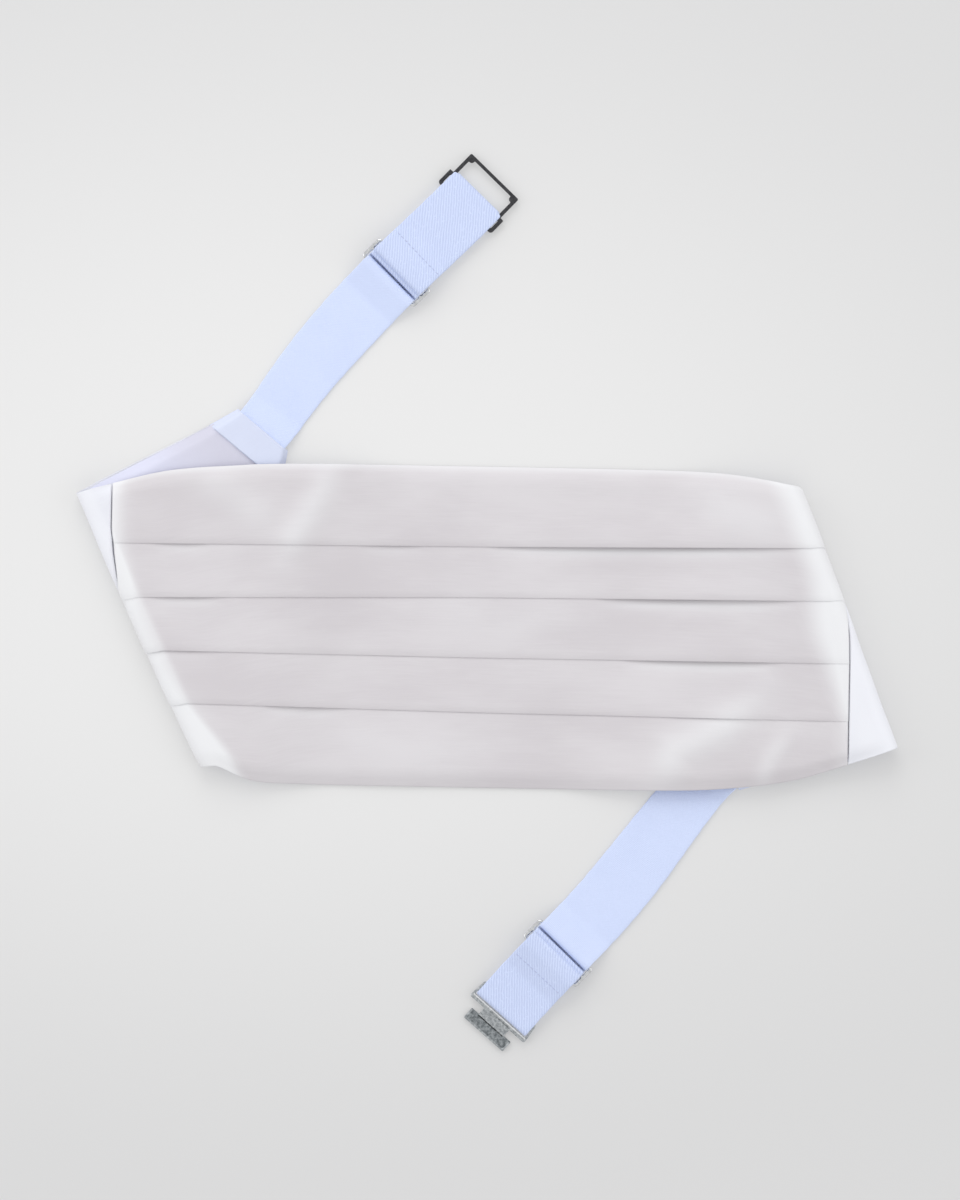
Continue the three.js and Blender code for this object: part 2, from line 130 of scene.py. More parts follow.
# Pleats, hems and seams
tuck_depth = 9
tuck_bend = 0.17
lip_edge = 0.35
hem_turn = 7
hem_edge, hem_edge_rise, hem_edge_middle, hem_edge_top = 0.35, 0.4, 0.45, 0.95
low_edge, low_edge_rise, low_edge_middle = 0.7, 0.9, 2.35
seam_turn = 0.9
seam_turn_width = 0.55
pressed_level, pressed_reach, pressed_share = 2.4, 14, 0.5
face_swell = 0.16
opening_dip, dip_reach = 0.45, 0.35
edge_reach = 5
edge_spare = 0.25
edge_meeting, fold_meeting, meeting_before, meeting_over = 0.55, 2.1, 8, 12

# The front's bottom corner on the left is drawn up over its roll
corner_rise, corner_at, corner_spread = 4.4, -101, 10

# Painted light on the satin, mixed into its colour: distances, and shares of the brightest tone
seam_puff = 4.5
shine_spread = 26
underside_dims = 0.6
hem_shine, hem_shine_width = 0.6, 0.9
lip_shine_width = 3.2
crest_shine, crest_narrows = 0.3, 0.9

# How finely the cloth is made
column_step = 0.22
far_off = 1e3
settling_rounds = 14
front_columns, lining_columns = 190, 110

# Half height of the outline along each half, from the full front (1) to the strap (0)
outline = [
    (0, 1), (0.34, 0.994), (0.444, 0.968), (0.553, 0.89), (0.639, 0.766),
    (0.726, 0.622), (0.794, 0.469), (0.866, 0.3), (0.939, 0.13), (1, 0),
]

# Height of each pleat lip as a share of the front's half height: at the left, middle and right
pleats = [
    (0.485, 0.502, 0.533),
    (0.146, 0.186, 0.203),
    (-0.178, -0.19, -0.186),
    (-0.5, -0.532, -0.545),
]

# Where a lip stands open: which lip, from and to along the waist, and how high
openings = [
    (0, 2, 124, 1.3), (0, -126, -104, 0.4), (0, -48, -22, 0.3),
    (1, 44, 122, 1.2), (1, -128, -98, 0.45),
    (2, 54, 116, 0.9), (2, -130, -100, 0.25),
    (3, -84, -50, 0.5), (3, 70, 110, 0.25),
]

# Soft folds in the front's face: points along each, its half width and its height
front_folds = [
    ([(-55.8, 62), (-63, 48), (-72, 33), (-76, 24)], 6, 1.5),
    ([(70, -60), (76, -46), (94, -37), (111, -21)], 7.5, 1.8),
    ([(108.5, -61), (112, -50), (121, -36)], 4, 1.1),
    ([(-112, 58), (-92, 47), (-78, 36)], 9, 0.9),
    ([(84, 52), (98, 44), (118, 40)], 9, 0.9),
    ([(-128, -20), (-112, -34), (-104, -52)], 7, 0.9),
    ([(-20, 10), (8, 2), (40, 6)], 11, 0.5),
    ([(-60, -40), (-28, -50), (10, -46)], 9, 0.5),
]


def mix(low, high, share):
    return low + (high - low) * share


def smooth(share):
    share = np.clip(share, 0, 1)
    return share * share * (3 - 2 * share)


def along_table(table, at):
    """A smooth curve through the rows of a table."""
    places, values = np.array(table, float).T
    rows = np.arange(len(places))
    last = rows[-1]
    before, after = np.maximum(rows - 1, 0), np.minimum(rows + 1, last)
    slopes = (values[after] - values[before]) / (places[after] - places[before])
    row = np.clip(np.searchsorted(places, at) - 1, 0, last - 1)
    span, rise = places[row + 1] - places[row], values[row + 1] - values[row]
    u = np.clip((at - places[row]) / span, 0, 1)
    start, stop = slopes[row] * span - rise, rise - slopes[row + 1] * span
    return values[row] + rise * u + u * (1 - u) * ((1 - u) * start + u * stop)


# The folded ends
class End:
    """One end of the waist, folded under along a leaning line.

    fold, radius, swell and drift are shares of the sizes above, and lean is in degrees. draw is how far
    the fold pulls the seam inwards, and bow how far the roll bulges at its ends and in its middle. shine
    is how far the painted highlight on its roll reaches in at the top and below, over what it fades, and
    where it widens, and seam_shine how strong the painted highlight beside its seam is."""

    draw_before, draw_over = 2, 11

    def __init__(self, name, side, fold, lean, radius, swell, drift, draw, bow, shine, seam_shine):
        self.name, self.side, self.draw, self.bow = name, side, draw, bow
        self.shine, self.seam_shine = shine, seam_shine
        self.lean = math.radians(lean)
        self.cos, self.sin = math.cos(self.lean), math.sin(self.lean)
        self.roll = radius * roll_radius
        self.start = fold * half_front - (self.roll + folded_depth) / self.cos
        self.turn = math.pi * (self.roll + satin_low)
        self.swell = swell * drape_reach
        self.drift = drift * front_half

    def past(self, s, t):
        """How far a place lies past the fold line."""
        return self.side * ((s - self.side * self.start) * self.cos + t * self.sin)

    def line(self, past, t):
        """How far out from the middle the waist lies that far past the fold line."""
        return self.start + past / self.cos - self.side * t * math.tan(self.lean)

    def seam(self, t):
        """Where the front is sewn to the tab. The fold draws the seam inwards as it passes over it."""
        past = self.past(self.side * half_front, t)
        return half_front - self.draw * smooth((past + self.draw_before) / self.draw_over)

    def folded(self, s, t, h):
        past = self.past(s, t)
        angle = np.minimum(past / (self.turn / math.pi), math.pi)
        beyond = np.maximum(past - self.turn, 0)
        pressed = mix(1, pressed_rise / pleat_rise, smooth(past / self.turn))
        radius = self.roll + np.minimum(h, stack) + np.maximum(h - stack, 0) * pressed
        bow = mix(*self.bow, np.clip(1 - (t / front_half) ** 2, 0, 1))
        out = (radius + bow) * np.sin(angle) - beyond - past
        z = self.roll + folded_depth + radius * np.cos(angle)
        return np.stack([s + self.side * self.cos * out, t + self.side * self.sin * out, z], axis=-1)


left = End("left", -1, fold=0.926, lean=25.5, radius=0.75, swell=0.55, drift=0.167, draw=4.8,
           bow=(0.9, 2.2), shine=(2.6, 9.5, 5, -28), seam_shine=0.85)
right = End("right", 1, fold=1.017, lean=21.2, radius=1.25, swell=0.8, drift=-0.042, draw=1.8,
            bow=(0.0, 0.2), shine=(9, 15, 11, 25), seam_shine=0.3)
ends = [left, right]


def half_height(s):
    return mix(end_half, front_half, along_table(outline, np.abs(s) / half_end))


def centre(s):
    share = (np.abs(s) - front_length / 3) / (half_end - front_length / 3)
    drift = np.where(np.asarray(s) < 0, left.drift, right.drift)
    return drift * np.maximum(share, 0) ** drift_ease


def top_edge(s):
    return centre(s) + half_height(s)


def bottom_edge(s):
    raised = corner_rise * np.exp(-(((s - corner_at) / corner_spread) ** 2))
    return centre(s) - half_height(s) + raised


def lip_line(pleat, s):
    at_left, middle, at_right = pleat
    outer = np.where(s < 0, at_left, at_right)
    return front_half * mix(middle, outer, np.minimum(np.abs(s) / half_front, 1))


# Inner edge of what is folded under, from the fold's corner to the strap's inner corner
for end in ends:
    edge = bottom_edge if end.side < 0 else top_edge
    place = end.side * end.start
    for _ in range(8):
        place = end.side * end.line(0, float(edge(place)))
    tip = end.folded(end.side * half_end, edge(end.side * half_end), 0)
    end.corner = np.array([place, float(edge(place))])
    inner = np.array([tip[0], tip[1]]) - end.corner
    end.inner = inner / np.linalg.norm(inner)


def lift(s, t):
    """Height of the lining's face over the surface that it lies on."""
    height = np.zeros(np.broadcast(s, t).shape)
    for end in ends:
        beside = (s - end.corner[0]) * end.inner[1] - (t - end.corner[1]) * end.inner[0]
        covered = smooth(1 - np.maximum(beside - drape_margin, 0) / drape_reach)
        bulge = smooth(1 + np.minimum(end.past(s, t), 0) / end.swell)
        height += (folded_depth + inside_gap) * covered + (2 * end.roll - inside_gap) * bulge * covered
    return height


def drape(s, t, h):
    s, t, h = np.broadcast_arrays(s, t, h)
    laid = np.stack([s, t, lift(s, t) + h], axis=-1)
    for end in ends:
        laid = np.where((end.past(s, t) > 0)[..., None], end.folded(s, t, h), laid)
    return laid


def folded_share(s, t):
    """0 on the face, 1 where the cloth is folded under."""
    return sum(smooth(end.past(s, t) / end.turn) for end in ends)


def face_share(s, t, fades=10):
    """1 on the face, fading to 0 over each roll."""
    return np.prod([1 - smooth(1 + end.past(s, t) / fades) for end in ends], axis=0)


def seam_distance(s, t):
    """How far inside the nearer seam a place is."""
    return np.where(s < 0, left.seam(t), right.seam(t)) - np.abs(s)


# Straps, as their middle line runs over the surface
class Strap:
    """A webbing strap: where its middle line runs, and how the webbing weaves through its hardware.

    share is its length as a share of strap_length, slide the slide's place along it, end_window the
    width that its end fitting leaves, and turns its heading in degrees at even steps along it."""

    stretches = 48
    narrows_before, narrows_over = 2.2, 1.4
    window_low, window_low_over, window_high, window_high_over = 0.6, 0.5, 3.0, 0.4

    def __init__(self, end, share, slide, end_window, turns):
        self.end, self.end_window, self.turns = end, end_window, turns
        self.length = share * strap_length
        self.slide_at = slide * self.length
        tip = end.folded(end.side * half_end, float(centre(end.side * half_end)), 0)
        self.step = self.length / self.stretches
        self.angles = self.heading((np.arange(self.stretches) + 0.5) * self.step)
        steps = self.step * np.stack([np.cos(self.angles), np.sin(self.angles)], axis=-1)
        self.stations = np.array([tip[0], tip[1]]) + np.vstack([[0, 0], np.cumsum(steps, axis=0)])

    def heading(self, distance):
        share = np.clip(distance / self.length, 0, 1) * (len(self.turns) - 1)
        turned = np.interp(share, np.arange(len(self.turns)), self.turns)
        leaving = 2 * math.degrees(self.end.lean) + (180 if self.end.side > 0 else 0)
        return np.radians(mix(leaving, turned, smooth(distance / hem_band)))

    def plan(self, distance):
        """x, y and heading at a distance from the tab."""
        index = np.clip(np.floor(distance / self.step), 0, self.stretches - 1).astype(int)
        angle = np.where(distance < 0, self.heading(np.zeros(1)), self.angles[index])
        along = distance - index * self.step
        base = self.stations[index]
        x, y = base[..., 0] + along * np.cos(angle), base[..., 1] + along * np.sin(angle)
        return x, y, self.heading(distance)

    def width(self, distance, level=0):
        """Full width, but for where the webbing passes between the sides of its end window."""
        full = mix(webbing_root_width, webbing_width, smooth(distance / root_length))
        at_end = smooth((distance - self.length + self.narrows_before) / self.narrows_over)
        over = smooth((level - self.window_low) / self.window_low_over)
        under = smooth((self.window_high - level) / self.window_high_over)
        return mix(full, np.minimum(full, self.end_window - 2 * gap), at_end * over * under)


straps = [
    Strap(left, share=0.99, slide=0.6419, end_window=catch_width,
          turns=[58, 54.5, 50, 47.5, 45, 44.5, 46.6]),
    Strap(right, share=1.019, slide=0.7457, end_window=rail_inside,
          turns=[229, 233, 234, 231, 226, 228, 229.4]),
]

# Levels of the webbing and metal that lie on each other, at mid thickness
pitch = webbing_thick + gap
run_level = webbing_thick / 2
tail_level = run_level + pitch
bar_low = tail_level + webbing_thick / 2 + gap
over_level = bar_low + metal_thick + gap + webbing_thick / 2
end_metal_low = webbing_thick + gap
end_top_level = end_metal_low + metal_thick + gap + webbing_thick / 2
sleeve_level = folded_depth - webbing_thick / 2


def turned(x, y):
    angle = math.radians(front_turn)
    return x * math.cos(angle) - y * math.sin(angle), x * math.sin(angle) + y * math.cos(angle)


low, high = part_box("left_slide")
slide_x, slide_y, _ = straps[0].plan(np.array([straps[0].slide_at]))
slide_x, slide_y = turned(float(slide_x[0]), float(slide_y[0]))
shift_x = (low.x + high.x) / 2 / MM - slide_x
shift_y = (low.y + high.y) / 2 / MM - slide_y


def to_frame(points):
    """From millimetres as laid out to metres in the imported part's frame."""
    x, y = turned(points[..., 0], points[..., 1])
    return np.stack([x + shift_x, y + shift_y, points[..., 2]], axis=-1) * MM


def shown(name, data):
    """A new object in the scene."""
    made = bpy.data.objects.new(name, data)
    bpy.context.scene.collection.objects.link(made)
    return made


# Camera, first: straight down over the middle of the photograph's view
view_x, view_y, view_tall, camera_height, object_mid = -3.16, 1.13, 461.54, 4000, 3
camera = shown("camera", bpy.data.cameras.new("camera"))
camera.location = (view_x * MM, view_y * MM, (camera_height + object_mid) * MM)
camera.data.sensor_width = 36
camera.data.lens = camera.data.sensor_width * camera_height / view_tall
camera.data.clip_start = 0.1
bpy.context.scene.camera = camera
bpy.context.scene.view_settings.view_transform = "Standard"


# Finishes
class Tone:
    """A socket in a node tree, so that shader maths is written as an expression."""

    def __init__(self, nodes, socket):
        self.nodes, self.socket = nodes, socket

    def maths(self, operation, first, second=0.0):
        return self.nodes.node("ShaderNodeMath", {"operation": operation}, {0: first, 1: second})

    def __add__(self, other):
        return self.maths("ADD", self, other)

    def __sub__(self, other):
        return self.maths("SUBTRACT", self, other)

    def __rsub__(self, other):
        return self.maths("SUBTRACT", other, self)

    def __mul__(self, other):
        return self.maths("MULTIPLY", self, other)

    __radd__ = __add__
    __rmul__ = __mul__

    def wave(self):
        """A wave between 0 and 1 that repeats at each whole number."""
        return self.maths("SINE", self * (2 * math.pi)) * 0.5 + 0.5


class Nodes:
    """A node tree, with one way of adding any node to it."""

    def __init__(self, tree):
        self.tree = tree

    def put(self, socket, value):
        if isinstance(value, Tone):
            self.tree.links.new(value.socket, socket)
        elif socket.type == "RGBA":
            socket.default_value = (*value, 1)
        else:
            socket.default_value = value

    def node(self, kind, settings=None, inputs=None, output=0):
        node = self.tree.nodes.new(kind)
        for key, value in (settings or {}).items():
            if key == "stops":
                ramp = node.color_ramp
                for element, (position, colour) in zip(ramp.elements, value):
                    element.position, element.color = position, (*colour, 1)
            else:
                setattr(node, key, value)
        for key, value in (inputs or {}).items():
            self.put(node.inputs[key], value)
        return Tone(self, node.outputs[output]) if node.outputs else None

    def vector(self, operation, first, second=(0, 0, 0), output=0):
        return self.node("ShaderNodeVectorMath", {"operation": operation}, {0: first, 1: second}, output)


class Finish(Nodes):
    """A procedural material. What is the same all over it goes by the names of the shader's sockets."""

    def __init__(self, name, **constants):
        self.material = bpy.data.materials.new(name)
        self.material.use_nodes = True
        super().__init__(self.material.node_tree)
        self.tree.nodes.clear()
        shader = self.node("ShaderNodeBsdfPrincipled", inputs={
            socket.replace("_", " "): value for socket, value in constants.items()})
        self.node("ShaderNodeOutputMaterial", inputs={"Surface": shader})
        self.shader = shader.socket.node

    def flat(self):
        """The cloth's own flat coordinates in millimetres: along, across and layer."""
        place = self.node("ShaderNodeAttribute", {"attribute_name": "flat"}, output="Vector")
        parts = [self.node("ShaderNodeSeparateXYZ", inputs={0: place}, output=axis) for axis in range(3)]
        return place, parts

    def light(self):
        """The painted light or shade that piece() gave each place, for mixing into the colour."""
        return self.node("ShaderNodeAttribute", {"attribute_name": "light"}, output="Fac")

    def place(self):
        """Coordinates in the part's frame, in metres."""
        return self.node("ShaderNodeTexCoord", output="Object")

    def noise(self, place, scale, detail=2.0, roughness=0.5):
        """Noise at one scale, or at a scale for each direction."""
        if isinstance(scale, tuple):
            place, scale = self.vector("MULTIPLY", place, scale), 1.0
        return self.node("ShaderNodeTexNoise", inputs={
            "Vector": place, "Scale": scale, "Detail": detail, "Roughness": roughness})

    def between(self, low, high, share):
        return self.node("ShaderNodeMix", {"data_type": "RGBA"}, {0: share, 6: low, 7: high}, output=2)

    def ramp(self, value, low, high):
        return self.node("ShaderNodeMapRange", {"interpolation_type": "SMOOTHSTEP"}, {
            "Value": value, "From Min": low, "From Max": high})

    def wear(self, colour, height, depth, strength, roughness=None):
        """Puts what changes over the surface on the shader. depth is the relief's height in millimetres."""
        self.put(self.shader.inputs["Base Color"], colour)
        if roughness is not None:
            self.put(self.shader.inputs["Roughness"], roughness)
        self.put(self.shader.inputs["Normal"], self.node("ShaderNodeBump", inputs={
            "Strength": strength, "Distance": depth * MM, "Height": height}))
        return self.material


def satin(name, light, dark, painted_light, sheen):
    """Satin: long floats along the waist, in rows that step sideways, with a soft sheen. Its colour is mixed
    towards a brighter tone by the painted light that each place is given.
    """
    threads_to_a_mm = 3.6
    finish = Finish(name, Sheen_Weight=sheen, Sheen_Roughness=0.35, Specular_IOR_Level=0.5,
                    Anisotropic=0.35)
    place, (along, across, _) = finish.flat()
    broad = finish.noise(place, (0.012, 0.03, 0.2), 3, 0.55)
    streaks = finish.noise(place, (0.12, 3.2, 0.5), 2, 0.6)
    slubs = finish.noise(place, (0.05, 1.1, 0.5), 2, 0.5)
    threads = (across * threads_to_a_mm).wave()
    floats = (along * 0.9 + across * 1.25).wave()
    share = finish.ramp(broad * 0.7 + streaks * 0.18 + slubs * 0.12, 0.36, 0.64)
    return finish.wear(
        colour=finish.between(finish.between(dark, light, share), painted_light, finish.light()),
        roughness=0.36 + streaks * 0.12 + broad * 0.1,
        height=threads * 0.45 + floats * 0.35 + streaks * 0.5, depth=0.03, strength=0.35)


def taffeta(name, light, dark):
    """Thin plain-woven lining, a little creased, with painted shade mixed into its colour."""
    threads_to_a_mm = 3
    finish = Finish(name, Sheen_Weight=0.25, Sheen_Roughness=0.4, Specular_IOR_Level=0.45)
    place, (along, across, _) = finish.flat()
    broad = finish.noise(place, (0.03, 0.04, 0.2), 3, 0.5)
    crease = finish.noise(place, (0.12, 0.3, 0.2), 4, 0.6)
    weave = (along * threads_to_a_mm).wave() * 0.5 + (across * threads_to_a_mm).wave() * 0.5
    return finish.wear(
        colour=finish.between(dark, light, finish.ramp(broad * 0.6 + finish.light(), 0.25, 1.15)),
        roughness=0.42 + broad * 0.15,
        height=weave * 0.12 + crease, depth=0.18, strength=0.4)


def elastic(name, light, dark):
    """Elastic webbing: cords across it, and slanting ribs in short strokes that show most on the run that
    comes back on top, where the webbing is slack."""
    cords_to_a_mm, ends_to_a_mm = 1.7, 2.1
    finish = Finish(name, Sheen_Weight=0.2, Sheen_Roughness=0.5, Specular_IOR_Level=0.3)
    place, (along, across, slack) = finish.flat()
    wander = finish.noise(place, (0.22, 0.22, 0.0), 2, 0.5)
    strokes = ((along * 0.66 + across * 0.75) * 1.02 + wander * 0.8).wave()
    broken = finish.ramp(finish.noise(place, (0.8, 0.8, 0.0), 2, 0.6), 0.22, 0.5)
    broad = finish.noise(place, (0.06, 0.06, 0.0), 2, 0.5)
    ribs = strokes * broken * (slack * 0.85 + 0.12)
    cords = (along * cords_to_a_mm + wander).wave() * (0.4 - slack * 0.2)
    tint = finish.ramp(1.15 - ribs - cords * 0.4 - broad * 0.35, 0.1, 1.1)
    return finish.wear(
        colour=finish.between(dark, light, tint),
        roughness=0.62 + broad * 0.12,
        height=cords + (across * ends_to_a_mm).wave() * 0.2 - ribs, depth=0.16, strength=0.6)


def plated(name, light, dark, roughness, grain):
    """Plated metal, faintly mottled."""
    finish = Finish(name, Metallic=1.0)
    place = finish.place()
    mottle = finish.noise(place, 900, 4, 0.6)
    fine = finish.noise(place, 5200, 2, 0.5)
    return finish.wear(
        colour=finish.between(dark, light, finish.ramp(mottle * 0.75 + fine * 0.25, 0.36, 0.64)),
        roughness=roughness + mottle * 0.16,
        height=mottle * 0.6 + fine * 0.4, depth=0.04 * grain, strength=0.4)


def spun(name, colour, roughness):
    """Sewing thread."""
    finish = Finish(name, Specular_IOR_Level=0.3)
    grain = finish.noise(finish.place(), 2500, 2, 0.5)
    darker = tuple(0.86 * value for value in colour)
    return finish.wear(
        colour=finish.between(darker, colour, grain),
        roughness=roughness + grain * 0.1,
        height=grain, depth=0.03, strength=0.3)


# Each satin's last and brightest tone is the colour that its painted light mixes towards.
front_satin = satin("front_satin", light=(0.64, 0.617, 0.64), dark=(0.58, 0.552, 0.577),
                    painted_light=(0.775, 0.78, 0.80), sheen=0.25)
# The tab's satin is lighter and bluer than the front's: painted sheen for where it lies over the rolls.
tab_satin = satin("tab_satin", light=(0.765, 0.775, 0.825), dark=(0.72, 0.73, 0.79),
                  painted_light=(0.79, 0.80, 0.85), sheen=0.3)
hem_satin = satin("hem_satin", light=(0.625, 0.67, 0.83), dark=(0.58, 0.62, 0.78),
                  painted_light=(0.65, 0.70, 0.85), sheen=0.2)
# The lining's dark tone serves both its random mottle and the painted shade beside the hem band.
lining_taffeta = taffeta("lining_taffeta", light=(0.65, 0.66, 0.80), dark=(0.59, 0.585, 0.69))
ribbed_webbing = elastic("ribbed_webbing", light=(0.62, 0.698, 0.925), dark=(0.515, 0.59, 0.82))
thread = spun("thread", (0.50, 0.545, 0.75), 0.6)
nickel = plated("nickel", light=(0.72, 0.73, 0.74), dark=(0.56, 0.57, 0.58),
                roughness=0.1, grain=0.3)
cast_nickel = plated("cast_nickel", light=(0.56, 0.585, 0.60), dark=(0.28, 0.30, 0.315),
                     roughness=0.24, grain=1.6)
# Two more copies of the hook's cast nickel: a darker one as painted shade on its cross plate, and a lighter
# one as a painted highlight on its rim.
dark_nickel = plated("dark_nickel", light=(0.36, 0.385, 0.40), dark=(0.13, 0.145, 0.155),
                     roughness=0.28, grain=1.8)
rim_highlight_nickel = plated("rim_highlight_nickel", light=(0.88, 0.885, 0.89), dark=(0.66, 0.67, 0.68),
                       roughness=0.2, grain=0.8)
gunmetal = plated("gunmetal", light=(0.085, 0.085, 0.09), dark=(0.05, 0.05, 0.055),
                  roughness=0.28, grain=0.6)


# Relief and light on the cloth
def ripples(s, t, seed, shortest, longest, height, waves=14, full_turn=6.28):
    """A gentle unevenness, made of waves in every direction."""
    chance = np.random.default_rng(seed)
    total = np.zeros(np.broadcast(s, t).shape)
    for _ in range(waves):
        length = chance.uniform(shortest, longest)
        angle = chance.uniform(0, math.pi)
        phase = chance.uniform(0, full_turn)
        total = total + np.sin((s * math.cos(angle) + t * math.sin(angle)) * 2 * math.pi / length + phase)
    return total * height / math.sqrt(waves)


def ridge(s, t, points, half_width, height, grows=4, fades=3, least=0.35):
    """A soft fold along a line of points, lower at its ends."""
    nearest, along = np.full(np.broadcast(s, t).shape, np.inf), np.zeros(np.broadcast(s, t).shape)
    spans = len(points) - 1
    for index, (start, stop) in enumerate(zip(points, points[1:])):
        start, stop = np.array(start, float), np.array(stop, float)
        way = stop - start
        share = np.clip(((s - start[0]) * way[0] + (t - start[1]) * way[1]) / (way @ way), 0, 1)
        away = np.hypot(s - start[0] - share * way[0], t - start[1] - share * way[1])
        along = np.where(away < nearest, (index + share) / spans, along)
        nearest = np.minimum(nearest, away)
    full = smooth(along * grows) * smooth((1 - along) * fades)
    return height * np.exp(-((nearest / half_width) ** 2)) * mix(least, 1, full)


def folds_in_face(s, t):
    soft = ripples(s, t, 5, 45, 110, 0.16) + ripples(s, t, 9, 18, 34, 0.035)
    for points, half_width, height in front_folds:
        soft = soft + ridge(s, t, points, half_width, height)
    return soft * face_share(s, t)


def opening_at(lip, s):
    """How far a lip stands open."""
    height = np.zeros_like(s)
    for which, start, stop, tall in openings:
        if which == lip:
            share = np.clip((s - start) / (stop - start), 0, 1)
            height = np.maximum(height, tall * np.sin(math.pi * share) ** 0.9)
    return height


def fold_light(s, t):
    """Painted highlight: 1 where the satin turns over a fold, widening down the left fold, and dimmer where it
    is folded under.
    """
    total = 0
    for end in ends:
        top_reach, low_reach, fade, widens = end.shine
        reach = mix(top_reach, low_reach, smooth((widens - t) / shine_spread))
        under = smooth(end.past(s, t) / end.turn)
        total = total + smooth((end.past(s, t) + reach) / fade) * (1 - underside_dims * under)
    return total


def satin_light(s, t):
    """The front also gets painted highlights at its seams, its top hem and its soft folds, and painted light
    under open lips that lightens their shade.
    """
    seam_shine = np.where(s < 0, left.seam_shine, right.seam_shine)
    beside = seam_shine * np.exp(-((seam_distance(s, t) / seam_puff) ** 2))
    hem = hem_shine * (1 - smooth((top_edge(s) - t) / hem_shine_width))
    total = fold_light(s, t) + beside + hem
    for lip, pleat in enumerate(pleats):
        below = lip_line(pleat, s) - t
        near = np.exp(-((below / lip_shine_width) ** 2)) * (below > 0)
        total = total + np.minimum(opening_at(lip, s), 1) * near
    for points, half_width, height in front_folds:
        total = total + crest_shine * ridge(s, t, points, half_width * crest_narrows, height)
    return np.clip(total, 0, 1)


def lining_light(s, t, hem_shade=2, brightens=34):
    """Painted shade on the lining beside the hem band: it grows lighter away from the band."""
    return smooth((half_end - hem_band - hem_shade - np.abs(s)) / brightens)


# Cloth pieces
def piece(name, vertices, faces, finish, flat=None, light=None):
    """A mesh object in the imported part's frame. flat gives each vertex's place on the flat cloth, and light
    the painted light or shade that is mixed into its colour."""
    mesh = bpy.data.meshes.new(name)
    mesh.from_pydata(np.asarray(vertices).reshape(-1, 3).tolist(), [], faces)
    if flat is not None:
        values = np.broadcast_to(flat, np.shape(vertices)).astype(np.float32).ravel()
        mesh.attributes.new("flat", "FLOAT_VECTOR", "POINT").data.foreach_set("vector", values)
    if light is not None:
        values = light.astype(np.float32).ravel()
        mesh.attributes.new("light", "FLOAT", "POINT").data.foreach_set("value", values)
    mesh.materials.append(finish)
    mesh.validate()
    mesh.shade_smooth()
    return shown(name, mesh)


def grid_faces(rows, columns, closed=False):
    faces = []
    for i in range(rows - 1):
        for j in range(columns if closed else columns - 1):
            k = (j + 1) % columns
            faces.append((i * columns + j, i * columns + k, (i + 1) * columns + k, (i + 1) * columns + j))
    return faces


def meeting(s, t):
    """The level at which satin and lining meet at the edges."""
    over_fold = sum(smooth((end.past(s, t) + meeting_before) / meeting_over) for end in ends)
    return mix(edge_meeting, fold_meeting, over_fold)


def edge_closeness(s, t):
    away = np.minimum(top_edge(s) - t, t - bottom_edge(s))
    return 1 - smooth(away / np.minimum(edge_reach, half_height(s) / 4))


def pinched(s, t, h):
    """Brings the layers together towards the top and bottom edges."""
    return mix(h, meeting(s, t) + (h - satin_low) * edge_spare, edge_closeness(s, t))


def leaning_columns(end, distances, low, high):
    """Places along the waist that keep to one end's fold line, between two limits."""
    distances = np.array(distances)
    index = np.arange(len(distances))

    def places(t, part=slice(None)):
        order = index[part]
        least = low(t) + column_step * (len(distances) - 1 - order)
        return end.side * np.clip(end.line(distances[part], t), least, high(t) - column_step * order)

    return places


def roll_distances(end, beyond):
    """Distances past a fold line, from the outermost inwards: close together over the roll."""
    roll = [end.turn * share for share in np.linspace(1, 0, 17)]
    inward = [0.6, 1.3, 2.2, 3.3, 4.6, 6, 8, 10, 12.5, 15, 18, 21, 25, 30]
    return [*[end.turn + further for further in beyond], *roll, *[-back for back in inward]]


def waist_columns(beyond, limit, spread):
    """Places along the whole waist: each end's own columns, and an even stretch between them."""
    sets = [roll_distances(end, beyond) for end in ends]
    count = len(sets[0])
    at_left, at_right = (leaning_columns(end, distances, lambda t: -far_off, partial(limit, end))
                         for end, distances in zip(ends, sets))
    shares = (np.arange(spread) + 1) / (spread + 1)
    innermost = slice(-1, None)

    def places(t):
        middle = t[:, count:-count]
        even = mix(at_left(middle, innermost), at_right(middle, innermost), shares)
        return np.hstack([at_left(t[:, :count]), even, at_right(t[:, :-count - 1:-1])[:, ::-1]])

    return places, 2 * count + spread


def cloth(name, places, count, rows, finish, wave, thick=cloth_thick, light=fold_light):
    """Lays a sheet of cloth, and gives it with its flat area. Each row gives (t, h) for s. light gives the
    painted light or shade mixed into its colour, by default the painted highlight over the folds.
    """
    t = np.zeros((len(rows), count))
    for _ in range(settling_rounds):
        s = places(t)
        for index, row in enumerate(rows):
            t[index] = row(s[index])[0]
    h = np.stack([np.broadcast_to(row(s[index])[1], (count,)) for index, row in enumerate(rows)])
    down = np.hypot(np.diff(t, axis=0), np.diff(h, axis=0))
    flat_area = float(np.abs(np.diff(s, axis=1)[:-1] * down[:, :-1]).sum())
    h = h + wave(s, t)
    down = np.hypot(np.diff(t, axis=0), np.diff(h, axis=0))
    run = np.cumsum(np.vstack([np.zeros((1, count)), down]), axis=0)
    flat = np.stack([s, -run, h * 0], axis=-1)
    made = piece(name, to_frame(drape(s, t, h)), grid_faces(len(rows), count), finish, flat, light(s, t))
    solid = made.modifiers.new("thickness", "SOLIDIFY")
    solid.thickness = thick * MM
    solid.offset = 0
    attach(made, "root")
    return made, flat_area * MM * MM


def arc(angles, across, up):
    """Round a turned edge: how far each step reaches and how high it rises."""
    return [(across * math.cos(math.radians(angle)), up * math.sin(math.radians(angle))) for angle in angles]


